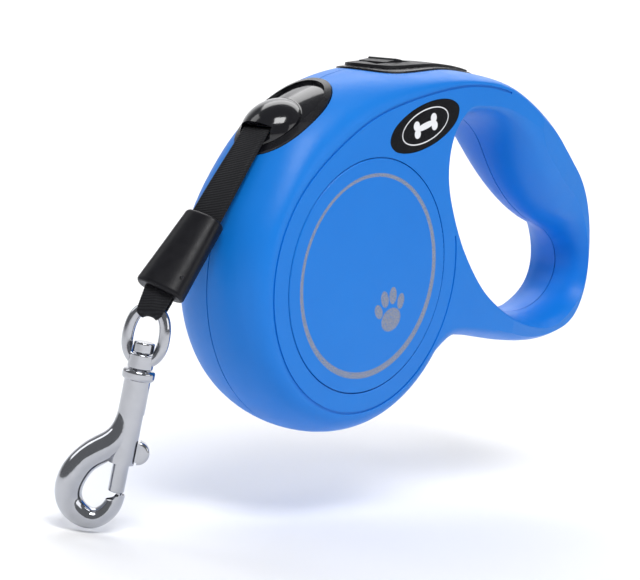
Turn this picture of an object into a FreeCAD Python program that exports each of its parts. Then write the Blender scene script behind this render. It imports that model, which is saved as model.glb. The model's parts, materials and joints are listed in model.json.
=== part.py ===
import FreeCAD, Part

import math
import os

from FreeCAD import Vector as V

os.makedirs("parts", exist_ok=True)

# Retractable tape leash. Everything is drawn about the spool centre: X runs back towards the hand grip,
# Y across the housing, Z up. export() moves the whole model so that the origin is the middle of the grip.
# All sizes are in millimetres.

# ---------- driving dimensions ----------
handle_reach = 124.8         # X of the far end of the handle
half_width = 16.5            # housing, from the parting plane to the flat side face
grip_end_half_width = 11.0   # the handle narrows to this at its far end
taper_start = 74.0           # X where the handle starts to narrow
taper_end = handle_reach + 2.2  # X where it is narrowest
body_radius = 47.0           # round body on the parting plane
face_radius = 39.5           # round body where the crowned rim meets the flat face
wall = 2.5                   # housing wall
chamber_radius = 40.5        # spool chamber
parting_gap = 0.3            # width of the fine line between the two housing halves
parting_depth = 0.5

cover_radius = 33.0          # round side cover
cover_thickness = 1.0
cover_proud = 0.15           # how far the cover stands above the flat face
cover_groove = 0.6           # width of the groove round the cover
face_groove_width = 0.7
face_groove_depth = 0.35
face_groove_inset = 0.7      # groove line, inside the edge of the flat face

badge_length = 31.6
badge_width = 12.5
badge_thickness = 0.8
badge_tilt = 24.0
badge_centre = V(14.8, 0, 43.6)
badge_clearance = 0.12

tape_width = 9.4
tape_thickness = 0.6
coil_radius = 38.0           # tape wound on the spool
coil_core_radius = 24.0

flange_radius = 39.4
flange_thickness = 1.2
ratchet_thickness = 3.0
tooth_count = 20
tooth_depth = 2.0
cup_radius = 21.5            # inside of the spool drum, where the spring sits
axle_radius = 4.0
running_clearance = 0.05
washer_thickness = 0.6
washer_clearance = 0.1
side_clearance = 0.15        # small gap between pieces that lie side by side

spring_thickness = 0.35
spring_turns = 14
spring_width = 9.0

outlet_angle = 123.2         # middle of the outlet bezel, seen from the spool centre
outlet_reach = 50.2          # its distance from the spool centre
outlet_length = 31.8
outlet_width = 22.6
bezel_proud = 0.45
bezel_depth = 1.8
fit_clearance = 0.2

brake_travel = 2.5
plate_proud = 0.5            # brake bezel above the housing
button_proud = 1.3
plate_depth = 1.8
lock_travel = 4.0

sleeve_length = 23.4
sleeve_thickness = 7.0
sleeve_width_top = 11.0
sleeve_width_low = 13.8

eye_wire_radius = 1.5
stud_radius = 1.65
collar_radius = 4.2
shaft_radius = 3.4
bolt_radius = 2.1
bolt_travel = 6.5
hook_turn = -43.0            # heading of the hook's flat plane about its own swivel
hook_lean = 3.6              # the snap hangs a little off plumb
eye_turn = -56.0             # heading of the eye's plane

screw_radius = 1.2
screw_head_radius = 2.1
screw_length = 20.0

grip_middle = V(84, 0, 40)   # origin of the exported model

# ---------- places worked out from them ----------
chamber_half = half_width - wall
coil_half = tape_width / 2 + side_clearance
cover_recess = cover_thickness - cover_proud
sleeve_axis = V(-0.553, 0, -0.833)
mouth = V(-35.9, 0, 35.9)                # where the tape leaves the outlet
sleeve_top = V(-50.2, 0, 11.2)
tape_twist_top = 0.0
tape_twist_low = 17.0
eye_bar_height = 15.9                    # middle of the eye's top bar above the hook's collar
eye_bar = V(-64.9, 0, -12.6)
axle_half = chamber_half - 0.2
spool_low = -(coil_half + ratchet_thickness)
flange_high = coil_half + flange_thickness
spool_high = flange_high + 1.2
ratchet_phase = 68.0                     # one tooth gap stands under the pawl
lightening_holes = 8
hub_wall = 2.2
spring_start = axle_radius + running_clearance + hub_wall + 0.75
spring_pitch = (cup_radius - spring_thickness - 0.15 - spring_start) / spring_turns
sleeve_twist_low = 24.0
loop_width = 4.0
loop_slack = 1.3                         # room round the wire, so the arch can swing in the loop
loop_drop = 0.3                          # the loop hangs round the arch, not the middle of the bar
stud_head_radius = 2.7
shaft_low = 24.6
bolt_low = 32.2
bolt_high = 18.6
bore_low = 34.8
bore_high = 6.0
knob_top = -18.2
eye_side = V(math.cos(math.radians(eye_turn)), math.sin(math.radians(eye_turn)), 0)
hook_side = V(math.cos(math.radians(hook_turn)), math.sin(math.radians(hook_turn)), 0)
hook_up = V(0, 0, 1) * math.cos(math.radians(hook_lean)) + hook_side * math.sin(math.radians(hook_lean))
hook_origin = eye_bar - hook_up * eye_bar_height
dome_angle = 128.6                       # middle of the nozzle's dome

neck_start = V(-1.7, 0, coil_radius + 0.6)
neck_line = mouth - neck_start
screw_places = [V(47.5, 0, -10.5), V(-7.0, 0, 43.6), V(46.4, 0, 55.4), V(98.6, 0, 36.0)]
screw_head_level = 9.0
pawl_pivot = V(25.0, 0, 47.5)
pawl_pin_radius = 1.5
pawl_y = (spool_low - 0.05, -coil_half - 0.45)
pocket_half = 9.0
button_recess = plate_depth + brake_travel + fit_clearance
spring_place = V(41.0, 0, 53.6)
spring_hole_radius = 3.2
plate_outline = [(-3.2, 0.0), (-1.8, 4.8), (2.0, 8.6), (7.6, 10.4), (14.0, 10.6), (22.0, 9.6),
                 (31.0, 7.6), (40.0, 5.5), (48.0, 3.3), (53.5, 1.5)]
plate_tip = 57.0
plate_spread = (2.6 - pawl_y[0]) / 10.5    # the plate is wide enough for the stem that reaches the pawl
button_margin = 2.2
pawl_top = 45.0
lock_front = 7.0
lock_back = 17.6
lock_half = 5.0
lock_floor = 58.8
lock_top = 61.4
rib_count = 4
stem_front = 6.2
stem_back = 11.0
stem_lift = 1.1              # only the foot at the front of the stem touches the pawl
foot_length = 1.0
stem_y = (pawl_y[0] + 0.2, 4.0)


# ---------- outlines: parting plane X, Z and flat face X, Z ----------
stretch_start = 44.0      # pieces behind this X move with the length of the handle
drawn_reach = 124.8       # far end of the handle as its outlines are drawn
body_arc = [math.radians(-32 - 17.8 * i) for i in range(11)]
body_outline = [(body_radius * math.cos(a), body_radius * math.sin(a),
                 face_radius * math.cos(a), face_radius * math.sin(a)) for a in body_arc]
crown_outline = [
    (-34.9, 34.9, -27.8, 28.3),
    (-25.8, 44.7, -20.4, 35.2),
    (-13.6, 52.4, -9.6, 43.2),
    (0.5, 57.3, 3.4, 49.4),
    (15.0, 59.9, 17.6, 54.2),
    (30.0, 61.4, 30.2, 57.4),
    (43.0, 61.9, 42.0, 58.8),
    (55.6, 61.4, 54.0, 58.3),
    (66.7, 58.9, 64.7, 55.4),
    (77.5, 55.1, 75.3, 51.4),
    (87.9, 50.6, 85.4, 46.8),
    (97.6, 45.7, 94.7, 42.0),
    (106.2, 39.3, 103.2, 36.4),
    (113.2, 32.2, 110.1, 30.2),
    (118.9, 23.9, 115.6, 22.7),
    (122.8, 14.3, 119.6, 13.8),
    (124.8, 4.0, 121.3, 4.1),
    (123.2, -6.0, 120.1, -4.5),
    (117.0, -14.0, 114.7, -10.9),
    (106.3, -18.2, 105.4, -14.8),
    (92.4, -20.3, 92.0, -16.8),
    (78.5, -20.2, 78.2, -16.4),
    (65.0, -19.0, 64.6, -15.0),
    (54.4, -18.5, 53.0, -14.2),
    (47.4, -19.3, 43.4, -14.4),
    (43.2, -21.9, 38.4, -16.6),
]
hole_outline = [
    (33.6, 45.6, 32.4, 48.6),
    (30.4, 40.4, 28.8, 41.6),
    (29.8, 33.8, 28.4, 33.9),
    (31.6, 26.4, 30.4, 26.4),
    (35.9, 18.6, 35.0, 18.1),
    (41.2, 11.4, 40.4, 10.7),
    (47.9, 4.4, 47.3, 3.5),
    (56.0, -1.9, 55.6, -3.2),
    (65.4, -6.6, 65.2, -8.4),
    (78.0, -10.4, 77.8, -12.9),
    (91.6, -11.7, 91.4, -15.2),
    (103.4, -10.5, 104.4, -14.2),
    (112.2, -6.6, 114.2, -9.6),
    (117.4, -0.6, 120.0, -2.8),
    (118.4, 6.0, 121.4, 5.0),
    (115.4, 11.8, 119.8, 13.6),
    (109.0, 16.2, 115.4, 23.0),
    (99.0, 18.9, 108.6, 30.2),
    (88.3, 22.8, 97.6, 37.8),
    (76.8, 29.8, 84.4, 44.0),
    (68.8, 37.0, 73.6, 48.6),
    (61.4, 44.3, 62.4, 51.6),
    (51.4, 48.8, 50.8, 53.0),
    (41.8, 49.2, 40.2, 52.2),
]
crown_levels = [math.sin(math.radians(a)) for a in range(-90, 91, 15)]


# ---------- helpers ----------
def export(shape, name):
    moved = shape.copy()
    moved.translate(grip_middle * -1)
    if not moved.isValid():
        print("not valid:", name)
    print(name, len(moved.Solids), round(moved.Volume, 1))
    moved.exportStep("parts/" + name + ".step")


def spline(points, closed):
    lengths = [0.0]
    loop = points + points[:1] if closed else points
    for a, b in zip(loop, loop[1:]):
        lengths.append(lengths[-1] + a.distanceToPoint(b))
    curve = Part.BSplineCurve()
    curve.interpolate(Points=points, PeriodicFlag=closed, Parameters=lengths)
    return curve.toShape()


def reached(x):
    # X of a drawn point once the handle has its length
    if x < stretch_start:
        return x
    return stretch_start + (x - stretch_start) * (handle_reach - stretch_start) / (drawn_reach - stretch_start)


def half_width_at(x):
    along = min(max((x - taper_start) / (taper_end - taper_start), 0.0), 1.0)
    return half_width - (half_width - grip_end_half_width) * along


def level_points(outline, y):
    points = []
    for mid_x, mid_z, face_x, face_z in outline:
        reach = min(abs(y) / half_width_at(mid_x), 1.0)
        crown = math.sqrt(1.0 - reach * reach)
        x = face_x + (mid_x - face_x) * crown
        points.append(V(reached(x), y, face_z + (mid_z - face_z) * crown))
    return points


def crowned_solid(outline):
    # closed sections at several levels across the housing, with one set of spline parameters
    base = level_points(outline, 0.0)
    lengths = [0.0]
    for a, b in zip(base, base[1:] + base[:1]):
        lengths.append(lengths[-1] + a.distanceToPoint(b))
    wires = []
    for level in crown_levels:
        points = level_points(outline, level * half_width)
        curve = Part.BSplineCurve()
        curve.interpolate(Points=points, PeriodicFlag=True, Parameters=lengths)
        wires.append(Part.Wire([curve.toShape()]))
    return Part.makeLoft(wires, True, False)


def prism(wire, start, depth):
    face = Part.Face(wire)
    face.translate(start)
    return face.extrude(depth)


def tube_y(radius, y_low, y_high, centre=V(0, 0, 0)):
    return Part.makeCylinder(radius, y_high - y_low, V(centre.x, y_low, centre.z), V(0, 1, 0))


def ring_y(outer, inner, y_low, y_high, centre=V(0, 0, 0)):
    return tube_y(outer, y_low, y_high, centre).cut(tube_y(inner, y_low - 1, y_high + 1, centre))


def block(x0, x1, y0, y1, z0, z1):
    return Part.makeBox(x1 - x0, y1 - y0, z1 - z0, V(x0, y0, z0))


def polygon(points):
    return Part.Wire(Part.makePolygon(points + points[:1]).Edges)


def mirrored(shape):
    return shape.mirror(V(0, 0, 0), V(0, 1, 0))


def fuse_all(shapes):
    return shapes[0].multiFuse(shapes[1:]).removeSplitter()


def placed(shape, origin, x_axis, z_axis):
    # moves a shape from its own local frame to a frame at origin
    z_unit = z_axis / z_axis.Length
    y_axis = z_unit.cross(x_axis)
    y_unit = y_axis / y_axis.Length
    x_unit = y_unit.cross(z_unit)
    matrix = FreeCAD.Matrix(x_unit.x, y_unit.x, z_unit.x, origin.x,
                            x_unit.y, y_unit.y, z_unit.y, origin.y,
                            x_unit.z, y_unit.z, z_unit.z, origin.z, 0, 0, 0, 1)
    moved = shape.copy()
    moved.transformShape(matrix)
    return moved


def angle_point(radius, degrees, y=0.0):
    return V(radius * math.cos(math.radians(degrees)), y, radius * math.sin(math.radians(degrees)))


outlet_out = angle_point(1.0, outlet_angle)
outlet_along = angle_point(1.0, outlet_angle + 90)


def oval_wire(length, width, count=16, power=2.0):
    points = []
    for i in range(count):
        a = 2 * math.pi * i / count
        c = math.copysign(abs(math.cos(a)) ** (2 / power), math.cos(a))
        d = math.copysign(abs(math.sin(a)) ** (2 / power), math.sin(a))
        points.append(V(length / 2 * c, width / 2 * d, 0))
    return Part.Wire([spline(points, True)])


# ---------- housing ----------


def side_trim():
    # narrows the far end of the handle on one side
    slope = (half_width - grip_end_half_width) / (taper_end - taper_start)
    run_in = 20.0
    run_out = 10.0
    far = half_width + run_in
    wire = polygon([V(taper_start - run_in, half_width + run_in * slope, -70),
                    V(taper_end + run_out, grip_end_half_width - run_out * slope, -70),
                    V(taper_end + run_out, far, -70), V(taper_start - run_in, far, -70)])
    return prism(wire, V(0, 0, 0), V(0, 0, 170))


def leaf_wire(margin, z):
    # outline of the brake plate seen from above, drawn in by a margin
    points = [V(x + margin * max(1 - (x + 5) / 12, 0) * 0.9, max(y * plate_spread - margin, 0.0), z)
              for x, y in plate_outline[1:]]
    start = V(plate_outline[0][0] + margin, 0, z)
    tip = V(plate_tip - margin * 2.2, 0, z)
    points = [p for p in points if p.y > 0.6 and p.x < tip.x - 1]
    other = [V(p.x, -p.y, z) for p in reversed(points)]
    return Part.Wire([spline([start] + points + [tip] + other, True)])


def layer(column, outer, up, down, direction):
    # the part of a column that lies in a layer along the housing's own outer shape
    high = outer.copy()
    high.translate(direction * up)
    low = outer.copy()
    low.translate(direction * -down)
    return column.common(high).cut(low)


def outlet_column(margin):
    wire = oval_wire(outlet_length - 2 * margin, outlet_width - 2 * margin, power=2.3)
    column = Part.Face(wire).extrude(V(0, 0, 24))
    centre = outlet_out * (outlet_reach - 12)
    return placed(column, centre, outlet_along, outlet_out)


def tape_channel(half_height, half_breadth, start, end):
    # straight passage along the line from the wound tape to the mouth
    length = neck_line.Length
    box = block(start, length + end, -half_breadth, half_breadth, -half_height, half_height)
    across = V(0, 1, 0)
    return placed(box, neck_start, neck_line / length, neck_line.cross(across) / length)


def brake_pocket():
    wire = polygon([V(4.4, 0, 36.0), V(4.4, 0, 53.8), V(12.0, 0, 55.4), V(29.4, 0, 57.0),
                    V(29.4, 0, 50.0), V(28.2, 0, 46.0), V(24.0, 0, 40.5), V(20.0, 0, 36.0)])
    return prism(wire, V(0, -pocket_half, 0), V(0, 2 * pocket_half, 0))


def grip_cavity():
    points = [V(58.0, 0, 54.6), V(70.0, 0, 52.6), V(83.0, 0, 48.4), V(91.0, 0, 43.6), V(94.4, 0, 38.0),
              V(93.0, 0, 32.4), V(88.0, 0, 32.6), V(78.0, 0, 39.0), V(68.0, 0, 47.0),
              V(60.0, 0, 51.6)]
    wire = Part.Wire([spline([V(reached(p.x), 0, p.z) for p in points], True)])
    return prism(wire, V(0, -pocket_half, 0), V(0, 2 * pocket_half, 0))


def parting_cut(outer, hole):
    # fine line where the two halves meet, all round the outside and inside the hand hole
    slab = block(-80, 160, -parting_gap / 2, parting_gap / 2, -80, 90)
    middle = level_points(body_outline + crown_outline, 0.0)
    inner = Part.Wire([spline(stepped(middle, -parting_depth), True)])
    keep = prism(inner, V(0, -1, 0), V(0, 2, 0))
    hole_edge = Part.Wire([spline(stepped(level_points(hole_outline, 0.0), parting_depth), True)])
    keep = keep.cut(prism(hole_edge, V(0, -2, 0), V(0, 4, 0)))
    return slab.cut(keep)


def stepped(points, distance):
    # every point of a closed outline moved out by a distance, square to the outline
    centre_sign = 0.0
    for a, b in zip(points, points[1:] + points[:1]):
        centre_sign += a.x * b.z - b.x * a.z
    turn = 1.0 if centre_sign > 0 else -1.0
    moved = []
    for i, point in enumerate(points):
        along = points[(i + 1) % len(points)] - points[i - 1]
        out = V(along.z, 0, -along.x) * turn
        moved.append(point + out / out.Length * distance)
    return moved


def face_groove():
    # shallow line on the side face, just inside the crowned rim
    radius = face_radius - face_groove_inset
    line = [angle_point(radius, 20 - 15.4 * i) for i in range(16)]
    for _, _, face_x, face_z in crown_outline[1:8]:
        line.append(V(face_x + 0.3, 0, face_z - face_groove_inset))
    left = []
    right = []
    for i, point in enumerate(line):
        along = line[min(i + 1, len(line) - 1)] - line[max(i - 1, 0)]
        side = V(-along.z, 0, along.x) / along.Length * (face_groove_width / 2)
        left.append(point + side)
        right.append(point - side)
    edges = [spline(left, False), Part.makeLine(left[-1], right[-1]),
             spline(list(reversed(right)), False), Part.makeLine(right[0], left[0])]
    return prism(Part.Wire(edges), V(0, -half_width - 1, 0), V(0, 1 + face_groove_depth, 0))


def axle_boss(side):
    inner = boss_level(side)
    boss = tube_y(axle_radius + 3, min(inner, side * chamber_half), max(inner, side * chamber_half))
    return boss.fuse(tube_y(axle_radius + 5, side * chamber_half - 0.8, side * chamber_half + 0.8))


def boss_level(side):
    if side < 0:
        return spool_low - washer_thickness - 2 * washer_clearance
    return spool_high + washer_thickness + 2 * washer_clearance


def screw_middles():
    return [V(reached(place.x), 0, place.z) for place in screw_places]


def screw_cuts():
    cuts = []
    for place in screw_middles():
        cuts.append(tube_y(screw_radius + 0.1, 0, half_width, place))
        cuts.append(tube_y(screw_head_radius + 0.3, screw_head_level, half_width + 1, place))
        cuts.append(tube_y(screw_radius + 0.02, screw_head_level - screw_length - 0.5, 0, place))
    return cuts


def make_housing():
    outer = crowned_solid(body_outline + crown_outline)
    hole = crowned_solid(hole_outline)
    trim = side_trim()
    body = outer.cut(hole).cut(trim).cut(mirrored(trim))
    bosses = [axle_boss(-1), axle_boss(1)]
    chamber = tube_y(chamber_radius, -chamber_half, chamber_half).cut(bosses[0]).cut(bosses[1])
    axle_bore = tube_y(axle_radius + 0.02, -axle_half, axle_half)
    cuts = [chamber, axle_bore, brake_pocket(), grip_cavity(), parting_cut(outer, hole)]
    cuts.append(layer(outlet_column(-fit_clearance), outer, 2, bezel_depth + 0.1, outlet_out))
    cuts.append(tape_channel(1.7, tape_width / 2 + 0.7, 12, 4))
    leaf = prism(leaf_wire(-fit_clearance, 40), V(0, 0, 0), V(0, 0, 30))
    cuts.append(layer(leaf, outer, 2, plate_depth + 0.1, V(0, 0, 1)))
    well = prism(leaf_wire(button_margin - fit_clearance, 40), V(0, 0, 0), V(0, 0, 30))
    cuts.append(layer(well, outer, 2, button_recess, V(0, 0, 1)))
    cuts.append(Part.makeCylinder(spring_hole_radius, 12, spring_place, V(0, 0, 1)))
    cuts.append(block(stem_front - 0.6, stem_back + 0.6, stem_y[0] - 0.6, stem_y[1] + 0.6, 50, 60))
    cuts.append(tube_y(pawl_pin_radius + 0.02, -12.0, 0, pawl_pivot))
    cuts += screw_cuts()
    groove = face_groove()
    badge_cut = badge_solid(badge_clearance, 1.0)
    for part in (groove, badge_cut, cover_solid(cover_groove / 2, 1.0)):
        cuts += [part, mirrored(part)]
    for cut in cuts:
        body = body.cut(cut)
    left = body.common(block(-100, 200, -40, 0, -100, 100))
    right = body.common(block(-100, 200, 0, 40, -100, 100))
    export(left, "housing_left")
    export(right, "housing_right")
    return outer


def cover_solid(margin, outward):
    # side cover on the left face, or the recess for it
    low = -half_width - (cover_proud if not margin else outward)
    return tube_y(cover_radius + margin, low, -half_width + cover_recess)


def badge_solid(margin, outward):
    wire = oval_wire(badge_length + 2 * margin, badge_width + 2 * margin)
    thick = badge_thickness + outward
    plate = Part.Face(wire).extrude(V(0, 0, thick))
    slope = angle_point(1.0, badge_tilt)
    start = badge_centre + V(0, -half_width - outward, 0)
    return placed(plate, start, slope, V(0, 1, 0))


def make_covers():
    cover = cover_solid(0.0, 0.0)
    rim = [e for e in cover.Edges if abs(e.BoundBox.YMin - cover.BoundBox.YMin) < 0.01 and e.Length > 10]
    cover = cover.makeFillet(0.3, rim)
    export(cover, "side_cover_left")
    export(mirrored(cover), "side_cover_right")
    badge = badge_solid(0.0, -0.05)
    export(badge, "badge_left")
    export(mirrored(badge), "badge_right")


# ---------- outlet ----------
def make_outlet(outer):
    rim_width = 1.8
    ring = outlet_column(0).cut(outlet_column(rim_width))
    export(layer(ring, outer, bezel_proud, bezel_depth, outlet_out), "outlet_bezel")
    floor = layer(outlet_column(rim_width + 0.05), outer, -0.5, bezel_depth, outlet_out)
    dome_centre = angle_point(47.9, dome_angle)
    dome = Part.makeSphere(1.0)
    scale = FreeCAD.Matrix(9.6, 0, 0, 0, 0, 8.6, 0, 0, 0, 0, 6.4, 0, 0, 0, 0, 1)
    dome = dome.transformGeometry(scale)
    dome = placed(dome, dome_centre, angle_point(1.0, dome_angle + 90), angle_point(1.0, dome_angle))
    low = outer.copy()
    low.translate(outlet_out * -bezel_depth)
    dome = dome.cut(low)
    nozzle = floor.fuse(dome)
    nozzle = nozzle.cut(tape_channel(0.9, tape_width / 2 + 0.5, 12, 6))
    nozzle = nozzle.cut(run_clearance())
    export(nozzle, "outlet_nozzle")


def run_clearance():
    # room for the tape where it turns down over the lip of the nozzle
    down = sleeve_top - mouth
    outward = V(down.z, 0, -down.x)
    room = 0.8
    box = block(-room, down.Length, -tape_width / 2 - room, tape_width / 2 + room, -room, 12)
    return placed(box, mouth, down, outward)


# ---------- brake ----------
def make_brake(outer):
    up = V(0, 0, 1)
    leaf = prism(leaf_wire(0, 40), V(0, 0, 0), V(0, 0, 30))
    window = prism(leaf_wire(button_margin - fit_clearance, 40), V(0, 0, 0), V(0, 0, 30))
    bezel = layer(leaf.cut(window), outer, plate_proud, plate_depth, up)
    export(bezel, "brake_bezel")

    inner = prism(leaf_wire(button_margin, 40), V(0, 0, 0), V(0, 0, 30))
    button = layer(inner, outer, button_proud, plate_depth, up)
    stem = block(stem_front, stem_back, stem_y[0], stem_y[1], pawl_top + stem_lift, 58.6)
    foot = block(stem_front, stem_front + foot_length, stem_y[0], stem_y[1], pawl_top + side_clearance, 58.6)
    button = button.fuse(stem).fuse(foot).cut(block(lock_front - lock_travel - 0.2, lock_back + 0.2,
                                         -lock_half - 0.2, lock_half + 0.2, lock_floor, 70))
    spigot = Part.makeCylinder(1.5, 3.0, V(spring_place.x, 0, 57.6), up)
    export(button.fuse(spigot).removeSplitter(), "brake_button")
    export(lock_wedge(), "lock_slider")

    x, z = pawl_pivot.x, pawl_pivot.z
    wire = polygon([V(9.0, 0, 39.2), V(11.4, 0, 41.4), V(22.4, 0, 44.0), V(x, 0, z - 3), V(x + 2.9, 0, z),
                    V(x, 0, z + 3), V(20, 0, z + 1), V(stem_back, 0, pawl_top), V(6.4, 0, pawl_top),
                    V(6.4, 0, 42.6)])
    pawl = prism(wire, V(0, pawl_y[0], 0), V(0, pawl_y[1] - pawl_y[0], 0))
    pawl = pawl.cut(tube_y(pawl_pin_radius + running_clearance, -20, 0, pawl_pivot))
    export(pawl, "brake_pawl")
    export(tube_y(pawl_pin_radius, -11.9, -4.6, pawl_pivot), "pawl_pin")

    coil_top = 59.6
    export(coil_spring(2.2, 0.3, coil_top - spring_place.z, 4, spring_place), "brake_spring")




def lock_wedge():
    # thumb wedge with cross ribs on its flat top
    wire = polygon([V(lock_front, 0, lock_floor + 0.05), V(lock_back, 0, lock_floor + 0.05),
                    V(lock_back, 0, lock_floor + 1.6), V(lock_back - 3.6, 0, lock_top - 0.5),
                    V(lock_front + 4.0, 0, lock_top - 0.5), V(lock_front, 0, lock_floor + 1.0)])
    wedge = prism(wire, V(0, -lock_half, 0), V(0, 2 * lock_half, 0))
    first = lock_front + 4.4
    pitch = (lock_back - 4.0 - first) / (rib_count - 1)
    for i in range(rib_count):
        x = first + pitch * i
        rib = Part.makeCylinder(0.55, 2 * lock_half, V(x, -lock_half, lock_top - 0.55), V(0, 1, 0))
        wedge = wedge.fuse(rib)
    return wedge.removeSplitter()


def coil_spring(radius, wire_radius, length, turns, place):
    height = length - 2 * wire_radius - 0.1
    helix = Part.makeHelix(height / turns, height, radius)
    circle = Part.Wire([Part.makeCircle(wire_radius, V(radius, 0, 0), V(0, 1, 0))])
    spring = Part.Wire(helix).makePipeShell([circle], True, True)
    spring.translate(place + V(0, 0, wire_radius + 0.05))
    return spring


# ---------- spool ----------
def ratchet_cuts():
    tip = flange_radius + 1.0
    root = flange_radius - tooth_depth
    pitch = 360.0 / tooth_count
    cuts = []
    for i in range(tooth_count):
        a = ratchet_phase + i * pitch
        points = [angle_point(tip, a), angle_point(root, a), angle_point(root, a + pitch * 0.35),
                  angle_point(tip, a + pitch * 0.62)]
        cuts.append(prism(polygon(points), V(0, spool_low - 1, 0), V(0, ratchet_thickness + 1, 0)))
    return cuts


def make_spool():
    bore = axle_radius + running_clearance
    spool = ring_y(flange_radius, bore, spool_low, -coil_half)
    for cut in ratchet_cuts():
        spool = spool.cut(cut)
    drum = ring_y(coil_core_radius - side_clearance, cup_radius, -coil_half, flange_high)
    flange = ring_y(flange_radius, cup_radius, coil_half, flange_high)
    hub = ring_y(bore + hub_wall, bore, -coil_half, flange_high)
    spool = fuse_all([spool, drum, flange, hub])
    for i in range(lightening_holes):
        centre = angle_point(31.0, i * 360.0 / lightening_holes)
        spool = spool.cut(tube_y(3.6, coil_half - 1, flange_high + 1, centre))
    export(spool, "spool")
    lid = ring_y(cup_radius + 2.0, bore, flange_high, spool_high)
    export(lid, "spool_cover")
    export(ring_y(coil_radius, coil_core_radius, -tape_width / 2, tape_width / 2), "tape_coil")
    export(power_spring(), "power_spring")


def power_spring():
    # flat spiral made of half circles about two centres
    inner = []
    outer = []
    for i in range(2 * spring_turns):
        centre = V(0, 0, 0) if i % 2 == 0 else V(spring_pitch / 2, 0, 0)
        side = 1 if i % 2 == 0 else -1
        for edges, extra in ((inner, 0.0), (outer, spring_thickness)):
            r = spring_start + extra + i * spring_pitch / 2
            edges.append(Part.Arc(centre + V(side * r, 0, 0), centre + V(0, 0, side * r),
                                  centre - V(side * r, 0, 0)).toShape())
    ends = [Part.makeLine(inner[0].Vertexes[0].Point, outer[0].Vertexes[0].Point),
            Part.makeLine(inner[-1].Vertexes[1].Point, outer[-1].Vertexes[1].Point)]
    wire = Part.Wire(Part.__sortEdges__(inner + outer + ends))
    return prism(wire, V(0, -coil_half + 0.4, 0), V(0, spring_width, 0))


def make_axle():
    axle = tube_y(axle_radius, -axle_half + 0.05, axle_half - 0.05)
    axle = axle.cut(block(-0.4, 0.4, -coil_half, coil_half - 1, -5, 0.5))
    export(axle, "axle")
    bore = axle_radius + running_clearance
    left = ring_y(axle_radius + 2.8, bore, spool_low - washer_clearance - washer_thickness,
                  spool_low - washer_clearance)
    right = ring_y(axle_radius + 2.8, bore, spool_high + washer_clearance,
                   spool_high + washer_clearance + washer_thickness)
    export(Part.makeCompound([left, right]), "thrust_washers")


def make_screws():
    screws = []
    for place in screw_middles():
        screw = tube_y(screw_radius, screw_head_level - screw_length, screw_head_level + 0.5, place)
        head = tube_y(screw_head_radius, screw_head_level, screw_head_level + 1.8, place)
        cross = block(-1.5, 1.5, screw_head_level + 0.8, screw_head_level + 3, -0.3, 0.3)
        cross = cross.fuse(block(-0.3, 0.3, screw_head_level + 0.8, screw_head_level + 3, -1.5, 1.5))
        cross.translate(place)
        screws.append(screw.fuse(head).cut(cross).removeSplitter())
    export(Part.makeCompound(screws), "housing_screws")


# ---------- tape and sleeve ----------
def strap_wire(place, along, twist, width, thick):
    # rectangle across a strap that runs along a direction, turned by a twist about it
    side = V(0, 1, 0)
    face = along.cross(side)
    face = face / -face.Length
    c, s = math.cos(math.radians(twist)), math.sin(math.radians(twist))
    u = side * c + face * s
    n = face * c - side * s
    a, b = u * (width / 2), n * (thick / 2)
    return polygon([place - a - b, place + a - b, place + a + b, place - a + b])


def make_tape():
    length = neck_line.Length
    neck = block(0, length - 0.4, -tape_width / 2, tape_width / 2, -tape_thickness / 2, tape_thickness / 2)
    neck = placed(neck, neck_start, neck_line / length, neck_line.cross(V(0, 1, 0)) / length)
    export(neck, "tape_neck")
    run = sleeve_top - mouth
    along = run / run.Length
    sections = []
    for i in range(6):
        part = i / 5
        place = mouth + along * (run.Length - 0.3) * part
        twist = tape_twist_top + (tape_twist_low - tape_twist_top) * part
        sections.append(strap_wire(place, along, twist, tape_width, tape_thickness))
    fold = tube_y(tape_thickness / 2, -tape_width / 2, tape_width / 2, mouth)
    export(Part.makeLoft(sections, True, False).fuse(fold), "tape_run")


def sleeve_frame(twist):
    side = V(0, 1, 0)
    face = side.cross(sleeve_axis)
    c, s = math.cos(math.radians(twist)), math.sin(math.radians(twist))
    return side * c + face * s


def make_sleeve():
    # flat sided tube whose two ends are rounded by short steps
    end_steps = [(0.0, 0.7), (0.2, 0.3), (0.55, 0.08), (1.0, 0.0)]
    stations = end_steps + [(sleeve_length - at, less) for at, less in reversed(end_steps)]
    sections = []
    for at, less in stations:
        part = at / sleeve_length
        width = sleeve_width_top + (sleeve_width_low - sleeve_width_top) * part - 2 * less
        wire = oval_wire(width, sleeve_thickness - 2 * less, power=2.7)
        twist = tape_twist_low + (sleeve_twist_low - tape_twist_low) * part
        sections.append(placed(wire, sleeve_top + sleeve_axis * at, sleeve_frame(twist), sleeve_axis))
    export(Part.makeLoft(sections, True, True), "tape_sleeve")


def make_loop():
    # strap folded round the eye's top bar, its two legs going up into the sleeve
    inner = eye_wire_radius + loop_slack
    ring = Part.makeCylinder(inner + tape_thickness, loop_width, V(0, 0, -loop_width / 2), V(0, 0, 1))
    ring = ring.cut(Part.makeCylinder(inner, loop_width, V(0, 0, -loop_width / 2), V(0, 0, 1)))
    sleeve_end = sleeve_top + sleeve_axis * sleeve_length
    rise = sleeve_end - eye_bar
    neck = block(inner + 0.1, rise.Length - 1.6, -1.4, 1.4, -loop_width / 2, loop_width / 2)
    loop = ring.fuse(neck).removeSplitter()
    side = eye_side
    centre = eye_bar - rise / rise.Length * loop_drop
    export(placed(loop, centre, rise - side * rise.dot(side), side), "tape_loop")


# ---------- swivel eye and snap hook, drawn with the collar's top face at height 0 ----------
def round_tube(points, radii):
    # solid through circles of different radius along a flat curve in the XZ plane
    wires = []
    for i, point in enumerate(points):
        along = points[min(i + 1, len(points) - 1)] - points[max(i - 1, 0)]
        wires.append(Part.Wire([Part.makeCircle(radii[i], point, along)]))
    return Part.makeLoft(wires, True, False)


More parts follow.
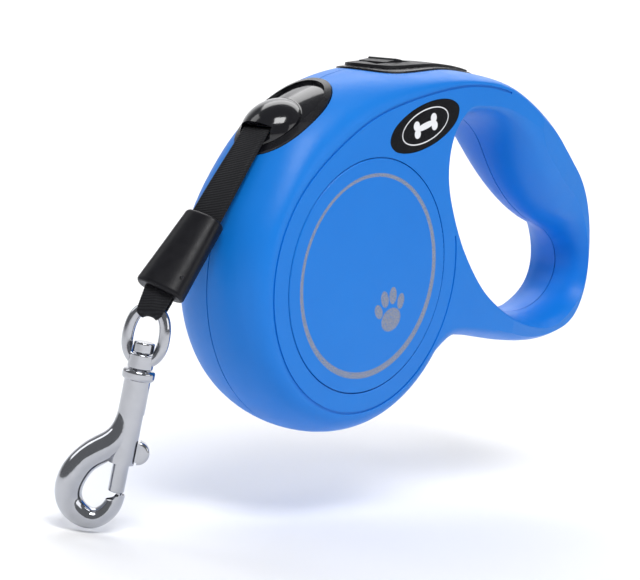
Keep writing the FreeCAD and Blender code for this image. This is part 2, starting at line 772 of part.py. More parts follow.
def make_eye():
    half = [V(1.4, 0, 2.0), V(3.3, 0, 3.4), V(4.5, 0, 6.0), V(4.7, 0, 9.0), V(4.3, 0, 12.0), V(2.8, 0, 14.8)]
    middle = [V(0, 0, eye_bar_height)]
    line = half + middle + [V(-p.x, 0, p.z) for p in reversed(half)]
    curve = spline(line, False)
    circle = Part.Wire([Part.makeCircle(eye_wire_radius, line[0], curve.tangentAt(0.0))])
    wire = Part.Wire([curve]).makePipeShell([circle], True, True)
    base = Part.makeCylinder(3.3, 3.9, V(0, 0, 0.2))
    base = base.makeFillet(0.4, [e for e in base.Edges if e.Closed])
    eye = wire.fuse(base)
    room = Part.makeCylinder(stud_head_radius + 0.3, 3.6, V(0, 0, 4.1))
    eye = eye.cut(room).cut(Part.makeCylinder(stud_radius + running_clearance, 6, V(0, 0, -1)))
    export(placed(eye, hook_origin, eye_side, hook_up), "swivel_eye")


def make_hook():
    line = [V(0, 0, -9.6), V(-0.7, 0, -15.0), V(-3.1, 0, -19.8), V(-7.0, 0, -23.2), V(-10.3, 0, -27.2),
            V(-11.8, 0, -31.6), V(-11.4, 0, -35.9), V(-8.6, 0, -39.1), V(-4.6, 0, -40.1), V(-1.3, 0, -37.9),
            V(0.3, 0, -34.1), V(0.5, 0, -32.6)]
    radii = [2.9, 3.3, 3.6, 3.7, 3.6, 3.6, 3.4, 3.1, 2.7, 2.4, 2.2, 2.1]
    crescent = round_tube(line, radii)
    shaft = Part.makeCylinder(shaft_radius, shaft_low, V(0, 0, -shaft_low))
    collar = Part.makeCylinder(collar_radius, 2.8, V(0, 0, -2.8))
    collar = collar.makeFillet(0.9, [e for e in collar.Edges if e.Closed])
    stud = Part.makeCylinder(stud_radius, 6.2, V(0, 0, -1))
    head = Part.makeCylinder(stud_head_radius, 2.8, V(0, 0, 4.3))
    head = head.makeFillet(0.5, [e for e in head.Edges if e.Closed])
    hook = fuse_all([shaft, crescent, collar, stud, head])
    bore = Part.makeCylinder(bolt_radius + running_clearance, bore_low - bore_high, V(0, 0, -bore_low))
    slot = block(0, shaft_radius + 2, -1.3, 1.3, -shaft_low - 1, knob_top + bolt_travel + 0.3)
    hook = hook.cut(bore).cut(slot)
    notch = Part.makeCylinder(bolt_radius + 0.15, 1.4, V(0, 0, -bolt_low - 0.9))
    nose_gap = block(-4, 4, -4, 4, -bolt_low - 0.15, -bolt_low + 2.4)
    hook = hook.cut(notch).cut(nose_gap)
    export(placed(hook, hook_origin, hook_side, hook_up), "snap_hook")

    bolt = Part.makeCylinder(bolt_radius, bolt_low - bolt_high, V(0, 0, -bolt_low))
    bolt = bolt.makeFillet(0.3, [e for e in bolt.Edges if e.Closed])
    neck = block(0, shaft_radius + 1.0, -1.1, 1.1, knob_top - 5.6, knob_top - 0.6)
    knob = Part.makeCylinder(3.1, 3.6, V(shaft_radius + 0.1, -1.8, knob_top - 3.1), V(0, 1, 0))
    knob = knob.cut(block(-4, shaft_radius + 0.35, -5, 5, knob_top - 9, knob_top + 3))
    knob = knob.makeFillet(0.8, [e for e in knob.Edges if e.BoundBox.XMax > shaft_radius + 2.6])
    bolt = fuse_all([bolt, neck, knob])
    export(placed(bolt, hook_origin, hook_side, hook_up), "snap_bolt")
    spring = coil_spring(1.5, 0.2, bolt_high - bore_high - 0.2, 7, V(0, 0, -bolt_high + 0.1))
    export(placed(spring, hook_origin, hook_side, hook_up), "bolt_spring")


outer_shape = make_housing()
make_covers()
make_outlet(outer_shape)
make_brake(outer_shape)
make_spool()
make_axle()
make_screws()
make_tape()
make_sleeve()
make_loop()
make_eye()
make_hook()
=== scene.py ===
import json
import math

import bmesh
import bpy
from mathutils import Euler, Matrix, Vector


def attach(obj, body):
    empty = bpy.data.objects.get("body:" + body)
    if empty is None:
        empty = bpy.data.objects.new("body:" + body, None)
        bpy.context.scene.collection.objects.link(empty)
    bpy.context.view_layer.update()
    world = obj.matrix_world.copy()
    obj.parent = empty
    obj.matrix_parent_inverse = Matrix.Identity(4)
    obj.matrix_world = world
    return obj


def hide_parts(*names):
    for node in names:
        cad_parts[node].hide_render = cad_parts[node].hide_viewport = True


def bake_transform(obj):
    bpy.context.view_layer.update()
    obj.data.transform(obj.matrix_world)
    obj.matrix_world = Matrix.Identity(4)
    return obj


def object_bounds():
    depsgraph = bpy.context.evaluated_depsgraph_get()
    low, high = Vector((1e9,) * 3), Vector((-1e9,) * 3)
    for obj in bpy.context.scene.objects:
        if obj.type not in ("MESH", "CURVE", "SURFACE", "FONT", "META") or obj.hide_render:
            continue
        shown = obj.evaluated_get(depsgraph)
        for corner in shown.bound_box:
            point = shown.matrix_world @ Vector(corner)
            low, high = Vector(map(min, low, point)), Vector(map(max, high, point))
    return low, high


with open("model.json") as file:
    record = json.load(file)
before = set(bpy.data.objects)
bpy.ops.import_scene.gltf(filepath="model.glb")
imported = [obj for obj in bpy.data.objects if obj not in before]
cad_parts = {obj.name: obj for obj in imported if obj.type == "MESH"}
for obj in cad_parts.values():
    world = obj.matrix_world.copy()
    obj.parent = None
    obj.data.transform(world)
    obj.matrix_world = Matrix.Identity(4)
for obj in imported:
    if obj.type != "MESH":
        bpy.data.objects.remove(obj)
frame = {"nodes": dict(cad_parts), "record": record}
cadLow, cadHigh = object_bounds()
nodes = frame["nodes"]
print("frame loaded:", len(nodes), "nodes")

# The leash was drawn about its spool; these places are in millimetres from there.
spoolCentre = Vector((-0.084, 0.0, -0.040))
millimetre = 0.001  # in metres


def at(x, y, z):
    return spoolCentre + Vector((x, y, z)) * millimetre


# camera
viewpoint = {
    "place": (-0.40643, -0.27870, -0.00630),
    "turn": (84.534, -8.016, -48.263),  # degrees
    "lens": 84.375,
    "sensor": 36.0,
    "clip": (0.02, 20.0),
}
cameraData = bpy.data.cameras.new("camera")
cameraData.lens = viewpoint["lens"]
cameraData.sensor_width = viewpoint["sensor"]
cameraData.clip_start, cameraData.clip_end = viewpoint["clip"]
camera = bpy.data.objects.new("camera", cameraData)
camera.location = viewpoint["place"]
camera.rotation_euler = Euler([math.radians(a) for a in viewpoint["turn"]])
bpy.context.scene.collection.objects.link(camera)
bpy.context.scene.camera = camera
bpy.context.scene.view_settings.view_transform = "Standard"


# node helpers
class Nodes:
    def __init__(self, name):
        self.material = bpy.data.materials.new(name)
        self.material.use_nodes = True
        self.tree = self.material.node_tree
        self.shader = self.tree.nodes["Principled BSDF"]
        self.object = self.add("TexCoord").outputs["Object"]

    def add(self, kind, **settings):
        node = self.tree.nodes.new("ShaderNode" + kind)
        for key, value in settings.items():
            setattr(node, key, value)
        return node

    def link(self, a, b):
        self.tree.links.new(a, b)

    def set(self, **values):
        for key, value in values.items():
            self.shader.inputs[key.replace("_", " ")].default_value = value

    def noise(self, scale, detail=3.0, roughness=0.55, vector=None):
        node = self.add("TexNoise")
        node.inputs["Scale"].default_value = scale
        node.inputs["Detail"].default_value = detail
        node.inputs["Roughness"].default_value = roughness
        self.link(vector or self.object, node.inputs["Vector"])
        return node.outputs["Fac"]

    def bands(self, direction, scale, vector):
        node = self.add("TexWave", wave_type="BANDS", bands_direction=direction, wave_profile="SIN")
        node.inputs["Scale"].default_value = scale
        self.link(vector, node.inputs["Vector"])
        return node

    def moved(self, place=(0, 0, 0), turn=(0, 0, 0), size=(1, 1, 1), kind="TEXTURE", vector=None):
        node = self.add("Mapping", vector_type=kind)
        node.inputs["Location"].default_value = place
        node.inputs["Rotation"].default_value = [math.radians(a) for a in turn]
        node.inputs["Scale"].default_value = size
        self.link(vector or self.object, node.inputs["Vector"])
        return node.outputs["Vector"]

    def ranged(self, value, low, high, newLow=0.0, newHigh=1.0):
        node = self.add("MapRange")
        limits = {"From Min": low, "From Max": high, "To Min": newLow, "To Max": newHigh}
        for key, number in limits.items():
            node.inputs[key].default_value = number
        self.link(value, node.inputs["Value"])
        return node.outputs["Result"]

    def math(self, operation, a, b):
        node = self.add("Math", operation=operation, use_clamp=True)
        self.link(a, node.inputs[0])
        self.link(b, node.inputs[1])
        return node.outputs[0]

    def mix(self, factor, a, b):
        node = self.add("Mix", data_type="RGBA")
        # the sockets of the colour kind of Mix: factor, first and second colour
        sockets = (node.inputs[0], node.inputs[6], node.inputs[7])
        for socket, value in zip(sockets, (factor, a, b)):
            if isinstance(value, tuple):
                socket.default_value = (*value, 1.0)
            else:
                self.link(value, socket)
        return node.outputs[2]

    def bump(self, height, distance, strength, under=None):
        node = self.add("Bump")
        node.inputs["Strength"].default_value = strength
        node.inputs["Distance"].default_value = distance
        self.link(height, node.inputs["Height"])
        if under:
            self.link(under, node.inputs["Normal"])
        return node.outputs["Normal"]

    def finish(self, colour, rough=None, normal=None):
        for key, value in (("Base Color", colour), ("Roughness", rough), ("Normal", normal)):
            if value:
                self.link(value, self.shader.inputs[key])
        return self.material


def shaded(tone, factor):
    return tuple(c * factor for c in tone)


# Printed marks are drawn in millimetres on the side of the leash, with the Y part taken away.
flatSize = (millimetre, 1000.0, millimetre)


def oval(n, flat, centre, radii, edge, turn=0.0):
    # 1 inside an oval, 0 outside it
    local = n.moved(place=(centre[0], 0.0, centre[1]), turn=(0, turn, 0),
                    size=(radii[0], 1.0, radii[1]), vector=flat)
    length = n.add("VectorMath", operation="LENGTH")
    n.link(local, length.inputs[0])
    return n.ranged(length.outputs["Value"], 1.0 - edge, 1.0 + edge, 1.0, 0.0)


# In the dictionaries below a noise is its scale, detail and roughness, as many as are given,
# a range is the part of that noise in use, and a bump is its depth in metres and its strength.

# blue plastic
blue = {
    "main": (0.002, 0.180, 0.660),
    "light": (0.003, 0.195, 0.690),
    "cloudNoise": (22.0, 4.0),
    "cloudRange": (0.3, 0.7),
    "rough": (0.38, 0.48),
    "roughNoise": (160.0, 5.0),
    "roughRange": (0.25, 0.75),
    "grainNoise": (5200.0, 2.0),
    "grainBump": (0.000012, 0.7),
    "waveNoise": (70.0, 1.0),
    "waveBump": (0.00006, 0.4),
    "level": 0.32,
}


def bluePlastic(name):
    n = Nodes(name)
    cloud = n.ranged(n.noise(*blue["cloudNoise"]), *blue["cloudRange"])
    colour = n.mix(cloud, blue["main"], blue["light"])
    rough = n.ranged(n.noise(*blue["roughNoise"]), *blue["roughRange"], *blue["rough"])
    wave = n.bump(n.noise(*blue["waveNoise"]), *blue["waveBump"])
    normal = n.bump(n.noise(*blue["grainNoise"]), *blue["grainBump"], wave)
    n.set(Specular_IOR_Level=blue["level"])
    return n, colour, rough, normal


def housingMaterial():
    n, colour, rough, normal = bluePlastic("bluePlastic")
    return n.finish(colour, rough, normal)


# printed ring and paw mark on the round covers
printed = {
    "silver": (0.34, 0.34, 0.37),
    "dark": (0.10, 0.15, 0.26),
    "ringOuter": 28.9,
    "ringInner": 27.5,
    "innerMiddle": (-0.3, 0.4),
    "ringEdge": 0.004,
    "paw": (11.0, -10.5),
    "pawTurn": 20.0,
    "pawEdge": 0.05,
    # each pad: place, radii and turn
    "pads": [
        (0.0, -1.6, 4.2, 3.3, 0.0),
        (-4.9, 2.4, 1.5, 2.3, -22.0),
        (-1.8, 5.1, 1.6, 2.5, -8.0),
        (1.8, 5.1, 1.6, 2.5, 8.0),
        (4.9, 2.4, 1.5, 2.3, 22.0),
    ],
    "speckleNoise": (3600.0, 2.0, 0.7),
    "speckleRange": (0.40, 0.56),
    "holesNoise": (5200.0, 1.0),
    "holesRange": (0.30, 0.42),
}


def coverMaterial():
    n, colour, rough, normal = bluePlastic("blueCover")
    flat = n.moved(place=(spoolCentre.x, 0.0, spoolCentre.z), size=flatSize)
    outer, inner = printed["ringOuter"], printed["ringInner"]
    ringOuter = oval(n, flat, (0.0, 0.0), (outer, outer), printed["ringEdge"])
    ringInner = oval(n, flat, printed["innerMiddle"], (inner, inner), printed["ringEdge"])
    mark = n.math("SUBTRACT", ringOuter, ringInner)
    pawX, pawZ = printed["paw"]
    turned = math.radians(printed["pawTurn"])
    for x, z, rx, rz, turn in printed["pads"]:
        px = pawX + x * math.cos(turned) - z * math.sin(turned)
        pz = pawZ + x * math.sin(turned) + z * math.cos(turned)
        pad = oval(n, flat, (px, pz), (rx, rz), printed["pawEdge"], turn - printed["pawTurn"])
        mark = n.math("MAXIMUM", mark, pad)
    speckle = n.ranged(n.noise(*printed["speckleNoise"]), *printed["speckleRange"])
    holes = n.ranged(n.noise(*printed["holesNoise"]), *printed["holesRange"])
    ink = n.mix(speckle, printed["dark"], printed["silver"])
    colour = n.mix(n.math("MULTIPLY", mark, holes), colour, ink)
    return n.finish(colour, rough, normal)


# glossy badge with a thin white ring and a bone
badge = {
    "centre": (14.8, 43.6),
    "tilt": 24.0,
    "ringRadii": (10.6, 4.7),
    "ringLine": 0.34,
    "ringEdge": 0.012,
    "boneHalf": 3.9,
    "knob": 1.35,
    "knobSpread": 0.85,
    "shaftExtra": 0.6,
    "shaftHalf": 0.95,
    "boneEdge": 0.06,
    "white": (0.85, 0.86, 0.88),
    "black": (0.004, 0.004, 0.005),
    "blackLight": (0.007, 0.007, 0.009),
    "blackNoise": 900.0,
    "rough": (0.10, 0.18),
    "roughNoise": (300.0, 4.0),
    "roughRange": (0.3, 0.7),
    "waveNoise": (120.0, 1.0),
    "waveBump": (0.00003, 0.5),
    "level": 0.3,
    "coat": 0.1,
    "coatRough": 0.05,
}


def badgeMaterial():
    n = Nodes("badgeGloss")
    centreX, centreZ = badge["centre"]
    place = at(centreX, 0.0, centreZ)
    flat = n.moved(place=place, turn=(0, -badge["tilt"], 0), size=flatSize)
    outer = badge["ringRadii"]
    inner = (outer[0] - badge["ringLine"], outer[1] - badge["ringLine"])
    mark = n.math("SUBTRACT", oval(n, flat, (0, 0), outer, badge["ringEdge"]),
                  oval(n, flat, (0, 0), inner, badge["ringEdge"]))
    half, knob = badge["boneHalf"], badge["knob"]
    spread = knob * badge["knobSpread"]
    shapes = [(sx * half, sz * spread, knob, knob) for sx in (-1, 1) for sz in (-1, 1)]
    shapes.append((0.0, 0.0, half + badge["shaftExtra"], badge["shaftHalf"]))
    for x, z, rx, rz in shapes:
        mark = n.math("MAXIMUM", mark, oval(n, flat, (x, z), (rx, rz), badge["boneEdge"]))
    base = n.mix(n.noise(badge["blackNoise"]), badge["black"], badge["blackLight"])
    colour = n.mix(mark, base, badge["white"])
    rough = n.ranged(n.noise(*badge["roughNoise"]), *badge["roughRange"], *badge["rough"])
    wave = n.bump(n.noise(*badge["waveNoise"]), *badge["waveBump"])
    n.set(Specular_IOR_Level=badge["level"], Coat_Weight=badge["coat"],
          Coat_Roughness=badge["coatRough"])
    return n.finish(colour, rough, wave)


# the black plastics: what they share, then each one's own values
black = {
    "cloudNoise": 260.0,
    "darker": 0.8,
    "lighter": 1.5,
    "roughNoise": (420.0, 5.0),
    "roughRange": (0.25, 0.75),
    "smoother": 0.8,
    "rougher": 1.25,
    "waveNoise": (140.0, 1.0),
    "waveBump": (0.00005, 0.5),
    "coatRough": 0.06,
}
halfGloss = {
    "tone": (0.005, 0.005, 0.007),
    "rough": 0.28,
    "grainNoise": (3800.0, 2.0),
    "grainBump": (0.00001, 0.8),
    "coat": 0.1,
    "level": 0.3,
}
gloss = {
    "tone": (0.006, 0.006, 0.008),
    "rough": 0.14,
    "grainNoise": (2600.0, 2.0),
    "grainBump": (0.000004, 0.8),
    "coat": 0.5,
    "level": 0.3,
}
texturedButton = {
    "tone": (0.007, 0.007, 0.009),
    "rough": 0.42,
    "grainNoise": (3000.0, 2.0),
    "grainBump": (0.00003, 0.8),
    "coat": 0.0,
    "level": 0.2,
}
softSleeve = {
    "tone": (0.006, 0.006, 0.008),
    "rough": 0.36,
    "grainNoise": (2400.0, 2.0),
    "grainBump": (0.00002, 0.8),
    "coat": 0.0,
    "level": 0.22,
}


def blackPlastic(name, own):
    n = Nodes(name)
    dark, light = shaded(own["tone"], black["darker"]), shaded(own["tone"], black["lighter"])
    colour = n.mix(n.noise(black["cloudNoise"]), dark, light)
    low, high = own["rough"] * black["smoother"], own["rough"] * black["rougher"]
    rough = n.ranged(n.noise(*black["roughNoise"]), *black["roughRange"], low, high)
    wave = n.bump(n.noise(*black["waveNoise"]), *black["waveBump"])
    n.set(Specular_IOR_Level=own["level"], Coat_Weight=own["coat"],
          Coat_Roughness=black["coatRough"])
    return n.finish(colour, rough, n.bump(n.noise(*own["grainNoise"]), *own["grainBump"], wave))


# Direction down the sleeve and its upper end, for the weave and for the pieces on the sleeve.
sleeveAxis = Vector((-0.553, 0.0, -0.833)).normalized()
sleeveTop = (-50.2, 0.0, 11.2)
acrossLeash = Vector((0, 1, 0))

# woven tape: fine diagonal twill
weave = {
    "tone": (0.004, 0.004, 0.006),
    "light": (0.016, 0.017, 0.020),
    "unitPitch": 0.314,  # width of a band of a wave texture of scale 1
    "pitch": 0.00075,
    "slant": 63.0,
    "wobble": 0.6,
    "wobbleDetail": 1.0,
    "threadShare": 0.55,  # thread pitch as a share of the twill's
    "threadLow": 0.55,
    "fuzzNoise": (9000.0, 2.0),
    "fuzzRange": (0.2, 0.8),
    "fuzzLow": 0.6,
    "rough": (0.62, 0.85),
    "weaveBump": (0.00009, 1.0),
    "level": 0.2,
    "sheen": 0.08,
    "sheenRough": 0.5,
}


def webbingMaterial():
    n = Nodes("webbing")
    lean = math.degrees(math.atan2(-sleeveAxis.x, -sleeveAxis.z))
    local = n.moved(turn=(0, lean, 0))
    local = n.moved(turn=(weave["slant"] - 90, 0, 0), vector=local)
    twill = n.bands("Z", weave["unitPitch"] / weave["pitch"], local)
    twill.inputs["Distortion"].default_value = weave["wobble"]
    twill.inputs["Detail"].default_value = weave["wobbleDetail"]
    threads = n.bands("Y", weave["unitPitch"] / (weave["pitch"] * weave["threadShare"]), local)
    ribs = n.ranged(threads.outputs["Fac"], 0.0, 1.0, weave["threadLow"], 1.0)
    height = n.math("MULTIPLY", twill.outputs["Fac"], ribs)
    fuzz = n.noise(*weave["fuzzNoise"])
    worn = n.ranged(fuzz, *weave["fuzzRange"], weave["fuzzLow"], 1.0)
    colour = n.mix(n.math("MULTIPLY", height, worn), weave["tone"], weave["light"])
    rough = n.ranged(fuzz, *weave["fuzzRange"], *weave["rough"])
    n.set(Specular_IOR_Level=weave["level"], Sheen_Weight=weave["sheen"],
          Sheen_Roughness=weave["sheenRough"])
    return n.finish(colour, rough, n.bump(height, *weave["weaveBump"]))


# plated metal
chrome = {
    "tone": (0.40, 0.41, 0.44),
    "bright": (0.50, 0.51, 0.54),
    "toneNoise": (240.0, 4.0),
    "rough": (0.06, 0.15),
    "roughNoise": (500.0, 5.0),
    "roughRange": (0.25, 0.75),
    "streakSize": (1.0, 1.0, 0.12),
    "streakNoise": (2600.0, 3.0),
    "streakBump": (0.000006, 0.5),
    "waveNoise": (230.0, 2.0),
    "waveBump": (0.00006, 0.6),
}


def chromeMaterial():
    n = Nodes("chrome")
    colour = n.mix(n.noise(*chrome["toneNoise"]), chrome["tone"], chrome["bright"])
    rough = n.ranged(n.noise(*chrome["roughNoise"]), *chrome["roughRange"], *chrome["rough"])
    wave = n.bump(n.noise(*chrome["waveNoise"]), *chrome["waveBump"])
    drawn = n.moved(size=chrome["streakSize"], kind="POINT")
    streaks = n.noise(*chrome["streakNoise"], vector=drawn)
    n.set(Metallic=1.0)
    return n.finish(colour, rough, n.bump(streaks, *chrome["streakBump"], wave))


# drawn and plated steel inside
steel = {
    "spring": (0.42, 0.42, 0.43),
    "plain": (0.50, 0.50, 0.51),
    "darker": 0.8,
    "toneNoise": (600.0, 4.0),
    "rough": (0.25, 0.4),
    "roughNoise": (900.0, 4.0),
    "roughRange": (0.2, 0.8),
    "grainNoise": 3000.0,
    "grainBump": (0.00001, 0.5),
}


def steelMaterial(name, tone):
    n = Nodes(name)
    colour = n.mix(n.noise(*steel["toneNoise"]), tone, shaded(tone, steel["darker"]))
    rough = n.ranged(n.noise(*steel["roughNoise"]), *steel["roughRange"], *steel["rough"])
    n.set(Metallic=1.0)
    return n.finish(colour, rough, n.bump(n.noise(steel["grainNoise"]), *steel["grainBump"]))


# nylon of the spool and the pawl
nylon = {
    "tone": (0.70, 0.69, 0.64),
    "light": (0.80, 0.79, 0.75),
    "toneNoise": (90.0, 4.0),
    "rough": (0.45, 0.6),
    "roughNoise": (700.0, 4.0),
    "roughRange": (0.2, 0.8),
    "grainNoise": 2500.0,
    "grainBump": (0.00001, 0.5),
    "glow": 0.2,
    "glowDepth": 0.002,
}


def nylonMaterial():
    n = Nodes("naturalNylon")
    colour = n.mix(n.noise(*nylon["toneNoise"]), nylon["tone"], nylon["light"])
    rough = n.ranged(n.noise(*nylon["roughNoise"]), *nylon["roughRange"], *nylon["rough"])
    n.set(Subsurface_Weight=nylon["glow"], Subsurface_Scale=nylon["glowDepth"])
    return n.finish(colour, rough, n.bump(n.noise(nylon["grainNoise"]), *nylon["grainBump"]))


finishes = {
    "blue_plastic": housingMaterial(),
    "blue_cover": coverMaterial(),
    "badge_black": badgeMaterial(),
    "black_plastic": blackPlastic("blackPlastic", halfGloss),
    "black_gloss": blackPlastic("blackGloss", gloss),
    "black_button": blackPlastic("blackButton", texturedButton),
    "natural_nylon": nylonMaterial(),
    "webbing": webbingMaterial(),
    "sleeve_rubber": blackPlastic("sleeveRubber", softSleeve),
    "chrome_metal": chromeMaterial(),
    "spring_steel": steelMaterial("springSteel", steel["spring"]),
    "steel": steelMaterial("steel", steel["plain"]),
}
slotOf = {row["node"]: row["material_slot"] for row in frame["record"]["subparts"]}
for name, thing in nodes.items():
    thing.data.materials.clear()
    thing.data.materials.append(finishes[slotOf[name]])
print("materials made:", len(finishes))


def meshObject(name, verts, faces, slotName):
    mesh = bpy.data.meshes.new(name)
    mesh.from_pydata([tuple(v) for v in verts], [], faces)
    mesh.validate()
    work = bmesh.new()
    work.from_mesh(mesh)
    bmesh.ops.recalc_face_normals(work, faces=work.faces)
    work.to_mesh(mesh)
    work.free()
    for face in mesh.polygons:
        face.use_smooth = True
    made = bpy.data.objects.new(name, mesh)
    bpy.context.scene.collection.objects.link(made)
    made.data.materials.append(finishes[slotName])
    return made


def skin(rings):
    # faces between closed rings that all have the same count of points, and over both ends
    count = len(rings[0])
    verts = [p for ring in rings for p in ring]
    faces = []
    for i in range(len(rings) - 1):
        for j in range(count):
            k = (j + 1) % count
            faces.append((i * count + j, i * count + k, (i + 1) * count + k, (i + 1) * count + j))
    faces.append(tuple(range(count)))
    faces.append(tuple(range(len(verts) - count, len(verts))))
    return verts, faces


# tape between the outlet and the sleeve
tape = {
    "width": 9.4,
    "thick": 0.6,
    "top": (-35.9, 0.0, 35.9),
    "inSleeve": 3.0,
    "twist": (0.0, 17.0),  # degrees at the outlet and in the sleeve
    "bow": 0.18,
    "across": (-1.0, -0.97, -0.9, -0.84, -0.6, -0.3, 0.0, 0.3, 0.6, 0.84, 0.9, 0.97, 1.0),
    "selvedge": 0.18,
    "selvedgeFrom": 0.86,
    "roundFrom": 0.95,
    "roundShare": 0.55,
    "tipFrom": 0.99,
    "tipShare": 0.15,
    "steps": 60,
}


def halfThickness(edge):
    # half the tape's thickness at a share of its half width
    thick = tape["thick"] / 2
    if edge > tape["selvedgeFrom"]:
        thick += tape["selvedge"] / 2
    if edge > tape["roundFrom"]:
        thick *= tape["roundShare"] if edge < tape["tipFrom"] else tape["tipShare"]
    return thick


def makeTape():
    top = Vector(tape["top"])
    line = Vector(sleeveTop) - top
    along = line.normalized()
    total = line.length + tape["inSleeve"]
    face = -along.cross(acrossLeash).normalized()
    firstTwist, lastTwist = tape["twist"]
    rings = []
    for i in range(tape["steps"] + 1):
        part = i / tape["steps"]
        place = top + along * (total * part) + face * (tape["bow"] * math.sin(math.pi * part))
        twist = math.radians(firstTwist + (lastTwist - firstTwist) * part)
        across = acrossLeash * math.cos(twist) + face * math.sin(twist)
        out = face * math.cos(twist) - acrossLeash * math.sin(twist)
        upper = []
        lower = []
        for share in tape["across"]:
            middle = place + across * (share * tape["width"] / 2)
            thick = halfThickness(abs(share))
            upper.append(at(*(middle + out * thick)))
            lower.append(at(*(middle - out * thick)))
        rings.append(upper + list(reversed(lower)))
    verts, faces = skin(rings)
    strap = meshObject("tapeStrap", verts, faces, "webbing")
    # stretches from 2 mm past the outlet to 4 mm before its end in the sleeve
    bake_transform(strap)
    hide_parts("tape_run")


makeTape()


def sleeveFrame(twist):
    # directions across the sleeve's flat face and out of it, with the sleeve turned by the twist
    turned = math.radians(twist)
    face = acrossLeash.cross(sleeveAxis).normalized()
    side = acrossLeash * math.cos(turned) + face * math.sin(turned)
    out = face * math.cos(turned) - acrossLeash * math.sin(turned)
    return side, out


# end of the tape, folded round the arch of the eye
loop = {
    "sleeveLength": 23.4,
    "sleeveTwist": 24.0,
    "inSleeve": 2.0,
    "half": 4.4,
    "thick": 0.6,
    "plies": 0.7,  # from the middle of the sleeve to each ply
    "bar": (-64.9, 0.0, -12.6),
    "lean": 3.6,
    "hookTurn": -43.0,
    "eyeTurn": -56.0,
    "archHalf": 58.0,
    "archWide": 4.4,
    "archHigh": 3.9,
    "spread": 0.86,  # how much of the arch the tape covers
    "wire": 1.5,
    "gap": 0.45,
    "fold": 0.16,  # soft lengthways folds of the bunched tape
    "foldTurn": 7.0,
    "foldAtArch": 0.3,
    "columns": 15,
    "legSteps": 5,
    "archSteps": 10,
}


def loopFrame():
    # the eye's side, front and up directions
    lean = math.radians(loop["lean"])
    turn = math.radians(loop["hookTurn"])
    eyeTurn = math.radians(loop["eyeTurn"])
    up = Vector((math.sin(lean) * math.cos(turn), math.sin(lean) * math.sin(turn), math.cos(lean)))
    side = Vector((math.cos(eyeTurn), math.sin(eyeTurn), 0.0))
    front = side.cross(up).normalized()
    return up.cross(front).normalized(), front, up


def loopLeg(start, end, front, push):
    # from the sleeve to the arch, nearly straight, pushed to the front in its middle
    leg = []
    for k in range(loop["legSteps"]):
        t = k / loop["legSteps"]
        eased = t * t * (3 - 2 * t)
        point = start.lerp(end, (t + eased) / 2)
        leg.append(point + front * (push * math.sin(math.pi * t)))
    return leg


def makeLoop():
    side, front, up = loopFrame()
    sleeveSide, sleeveOut = sleeveFrame(loop["sleeveTwist"])
    if sleeveOut.dot(front) < 0:
        sleeveOut = -sleeveOut
    if sleeveSide.dot(side) < 0:
        sleeveSide = -sleeveSide
    sleeveEnd = Vector(sleeveTop) + sleeveAxis * loop["sleeveLength"]
    hidden = sleeveEnd - sleeveAxis * loop["inSleeve"]
    radius = loop["wire"] + loop["gap"]
    wide, high = loop["archWide"], loop["archHigh"]
    count = loop["columns"]
    rows = []
    for i in range(count):
        u = -1.0 + 2.0 * i / (count - 1)
        angle = u * math.radians(loop["archHalf"]) * loop["spread"]
        sine, cosine = math.sin(angle), math.cos(angle)
        middle = Vector(loop["bar"]) + side * (wide * sine) - up * (high * (1.0 - cosine))
        outward = (side * (high * sine) + up * (wide * cosine)).normalized()
        fold = loop["fold"] * math.cos(u * loop["foldTurn"])
        start = hidden + sleeveSide * (u * loop["half"])
        row = loopLeg(start + sleeveOut * loop["plies"], middle + front * radius, front, fold)
        for k in range(loop["archSteps"] + 1):
            a = math.pi * k / loop["archSteps"]
            ahead = math.cos(a) * (radius + fold * loop["foldAtArch"])
            row.append(middle + front * ahead - outward * (math.sin(a) * radius))
        back = loopLeg(start - sleeveOut * loop["plies"], middle - front * radius, front, -fold)
        rows.append(row + list(reversed(back)))
    length = len(rows[0])
    verts = [at(*p) for row in rows for p in row]
    faces = []
    for i in range(count - 1):
        for j in range(length - 1):
            here, beside = i * length + j, (i + 1) * length + j
            faces.append((here, here + 1, beside + 1, beside))
    made = meshObject("tapeLoop", verts, faces, "webbing")
    thick = made.modifiers.new("thick", "SOLIDIFY")
    thick.thickness = loop["thick"] * millimetre
    thick.offset = 0.0
    soft = made.modifiers.new("soft", "SUBSURF")
    soft.levels = 1
    soft.render_levels = 1
    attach(made, "tape_end")
    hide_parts("tape_loop")


makeLoop()

# small mould dot low on the sleeve
dot = {
    "twist": 22.0,
    "along": 18.6,
    "across": -4.6,
    "out": 2.55,
    "radius": 0.62,
    "segments": 24,
    "rings": 14,
}


def makeDot():
    side, out = sleeveFrame(dot["twist"])
    if out.x > 0:
        out = -out
    place = Vector(sleeveTop) + sleeveAxis * dot["along"]
    place = place + side * dot["across"] + out * dot["out"]
    mesh = bpy.data.meshes.new("sleeveDot")
    work = bmesh.new()
    bmesh.ops.create_uvsphere(work, u_segments=dot["segments"], v_segments=dot["rings"],
                              radius=dot["radius"] * millimetre)
    work.to_mesh(mesh)
    work.free()
    for polygon in mesh.polygons:
        polygon.use_smooth = True
    made = bpy.data.objects.new("sleeveDot", mesh)
    made.location = at(*place)
    bpy.context.scene.collection.objects.link(made)
    made.data.materials.append(finishes["black_plastic"])
    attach(made, "tape_end")


makeDot()
print("tape, loop and sleeve dot made")

# white paper floor that bends up behind the leash; lengths here are in metres
paper = {
    "tone": (0.93, 0.93, 0.94),
    "shade": 0.99,
    "noise": (30.0, 2.0),
    "rough": 0.9,
    "level": 0.1,
    "gap": 0.001,
    "heading": (0.75, 0.66, 0.0),
    "behindCamera": 1.2,
    "flat": 2.0,
    "bend": 1.2,
    "high": 5.0,
    "halfWidth": 4.0,
    "steps": 30,
}


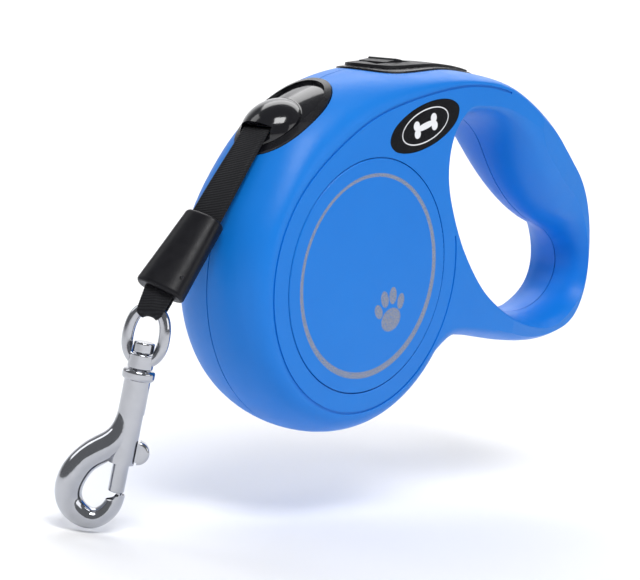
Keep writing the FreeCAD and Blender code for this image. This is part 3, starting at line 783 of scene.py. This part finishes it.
def makeFloor():
    steps, flat, bend = paper["steps"], paper["flat"], paper["bend"]
    points = [(flat * i / (steps - 1), 0.0) for i in range(steps)]
    for i in range(1, steps + 1):
        a = math.radians(90.0 * i / steps)
        points.append((flat + bend * math.sin(a), bend * (1 - math.cos(a))))
    points.append((flat + bend, paper["high"]))
    heading = Vector(paper["heading"]).normalized()
    sideways = Vector((-heading.y, heading.x, 0.0))
    start = Vector(viewpoint["place"])
    start.z = cadLow.z - paper["gap"]
    start -= heading * paper["behindCamera"]
    verts = []
    for ahead, high in points:
        for wide in (-paper["halfWidth"], paper["halfWidth"]):
            verts.append(start + heading * ahead + sideways * wide + Vector((0, 0, high)))
    faces = [(2 * i, 2 * i + 1, 2 * i + 3, 2 * i + 2) for i in range(len(points) - 1)]
    mesh = bpy.data.meshes.new("floor")
    mesh.from_pydata([tuple(v) for v in verts], [], faces)
    for polygon in mesh.polygons:
        polygon.use_smooth = True
    floor = bpy.data.objects.new("floor", mesh)
    bpy.context.scene.collection.objects.link(floor)
    n = Nodes("floorPaper")
    colour = n.mix(n.noise(*paper["noise"]), paper["tone"], shaded(paper["tone"], paper["shade"]))
    n.set(Roughness=paper["rough"], Specular_IOR_Level=paper["level"])
    floor.data.materials.append(n.finish(colour))


makeFloor()

# soft even surroundings
surroundings = {
    "tone": (0.95, 0.97, 1.0, 1.0),
    "strength": 0.22,
}
world = bpy.data.worlds.new("world")
bpy.context.scene.world = world
world.use_nodes = True
background = world.node_tree.nodes["Background"]
background.inputs["Color"].default_value = surroundings["tone"]
background.inputs["Strength"].default_value = surroundings["strength"]

# each light: place, what it points at, size and power
focus = (-0.06, 0.0, -0.04)
lights = {
    "key": ((-0.45, -0.45, 0.75), focus, (0.5, 0.35), 7.0),
    "fill": ((0.30, -0.85, 0.20), focus, (0.6, 0.4), 1.3),
    "rim": ((-0.50, 0.65, 0.45), focus, (0.3, 0.5), 1.0),
    "sweep": ((1.1, 0.95, 1.5), (1.4, 1.2, 0.0), (2.0, 2.0), 42.0),
}


def areaLight(name, place, target, size, power):
    data = bpy.data.lights.new(name, "AREA")
    data.shape = "RECTANGLE"
    data.size, data.size_y = size
    data.energy = power
    light = bpy.data.objects.new(name, data)
    light.location = place
    light.rotation_euler = (Vector(target) - Vector(place)).to_track_quat("-Z", "Y").to_euler()
    bpy.context.scene.collection.objects.link(light)


for name, settings in lights.items():
    areaLight(name, *settings)
print("stage and lights made")

print("cad", [round(v, 4) for v in (*cadLow, *cadHigh)])
